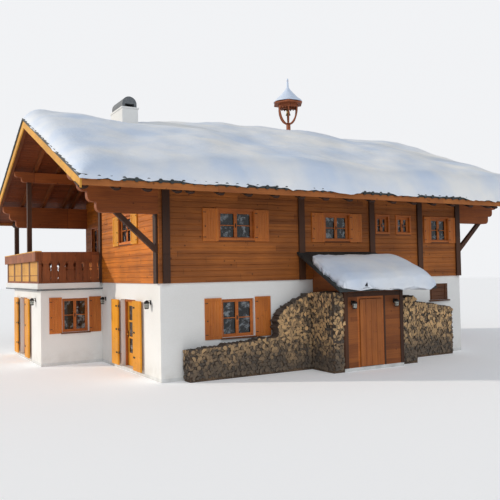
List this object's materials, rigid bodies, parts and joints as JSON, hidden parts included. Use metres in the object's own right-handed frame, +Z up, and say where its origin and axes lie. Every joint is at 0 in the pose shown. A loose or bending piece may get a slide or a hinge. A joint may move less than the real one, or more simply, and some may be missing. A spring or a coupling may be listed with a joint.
{
  "type": "alpine chalet",
  "caption": "Alpine chalet with a rendered ground floor, a boarded timber storey, a wide snow-covered saddle roof on corbelled logs, a corner balcony, a porch and a bell turret.",
  "frame": {"origin": "centre of the main house's footprint, on the ground", "axes": "+X along the ridge toward the gable without the balcony, +Y from the porch front toward the back, +Z up"},
  "size_m": [16.4, 13.495, 10.4752],
  "materials": {
    "concrete": "matte",
    "render": "matte",
    "timber": "satin",
    "golden_wood": "satin",
    "orange_wood": "satin",
    "frame_wood": "satin",
    "red_wood": "satin",
    "firewood": "matte",
    "tiles": "matte",
    "snow": "matte",
    "dark_metal": "satin",
    "bell_metal": "satin",
    "glass": "gloss"
  },
  "bodies": {
    "house": {"floor_slab": "concrete", "front_wall": "render", "gable_wall": "render", "bay_wall": "render", "back_wall": "render", "right_wall": "render", "door_lintels": "render", "upper_floor": "render", "balcony_slab": "concrete", "upper_front_wall": "timber", "upper_back_wall": "timber", "upper_gable_wall": "timber", "loggia_wall": "timber", "upper_right_wall": "timber", "log_boarding": "timber", "facade_posts": "timber", "plate_logs": "timber", "purlins": "timber", "rafters": "timber", "roof_deck": "timber", "roof_tiles": "tiles", "barge_boards": "golden_wood", "fascias": "timber", "roof_snow": "snow", "balcony_posts": "timber", "balustrade": "timber", "balcony_rail": "timber", "chimney": "render", "chimney_cap": "dark_metal", "bell_turret": "red_wood", "turret_roof": "red_wood", "porch_walls": "timber", "porch_frame": "timber", "porch_roof": "tiles", "snow_caps": "snow", "door_frames": "frame_wood", "window_frames": "frame_wood", "window_glass": "glass", "window_shutters": "orange_wood", "lanterns": "dark_metal", "firewood": "firewood"},
    "porch_door": {"porch_door": "orange_wood"},
    "gable_door": {"gable_door": "orange_wood"},
    "bay_door": {"bay_door": "orange_wood"},
    "gable_shutter_near": {"gable_shutter_near": "orange_wood"},
    "gable_shutter_far": {"gable_shutter_far": "orange_wood"},
    "bay_shutter_near": {"bay_shutter_near": "orange_wood"},
    "bay_shutter_far": {"bay_shutter_far": "orange_wood"},
    "bell": {"bell": "bell_metal"}
  },
  "joints": [
    {"name": "porch_door_hinge", "type": "hinge", "parent": "house", "child": "porch_door", "pos_m": [-0.125, -6.299, 1], "axis": [0, 0, 1], "range_deg": [0, 90]},
    {"name": "gable_door_hinge", "type": "hinge", "parent": "house", "child": "gable_door", "pos_m": [-5.439, -2.885, 1], "axis": [0, 0, -1], "range_deg": [0, 90]},
    {"name": "bay_door_hinge", "type": "hinge", "parent": "house", "child": "bay_door", "pos_m": [-7.439, 2.535, 1], "axis": [0, 0, -1], "range_deg": [0, 90]},
    {"name": "gable_shutter_near_hinge", "type": "hinge", "parent": "house", "child": "gable_shutter_near", "pos_m": [-5.779, -2.97, 1], "axis": [0, 0, -1], "range_deg": [0, 180]},
    {"name": "gable_shutter_far_hinge", "type": "hinge", "parent": "house", "child": "gable_shutter_far", "pos_m": [-5.779, -1.67, 1], "axis": [0, 0, 1], "range_deg": [0, 180]},
    {"name": "bay_shutter_near_hinge", "type": "hinge", "parent": "house", "child": "bay_shutter_near", "pos_m": [-7.779, 2.45, 1], "axis": [0, 0, -1], "range_deg": [0, 180]},
    {"name": "bay_shutter_far_hinge", "type": "hinge", "parent": "house", "child": "bay_shutter_far", "pos_m": [-7.779, 3.75, 1], "axis": [0, 0, 1], "range_deg": [0, 180]},
    {"name": "bell_swing", "type": "hinge", "parent": "house", "child": "bell", "pos_m": [1.8, 0, 9.415], "axis": [0, 1, 0], "range_deg": [-25, 25]}
  ]
}
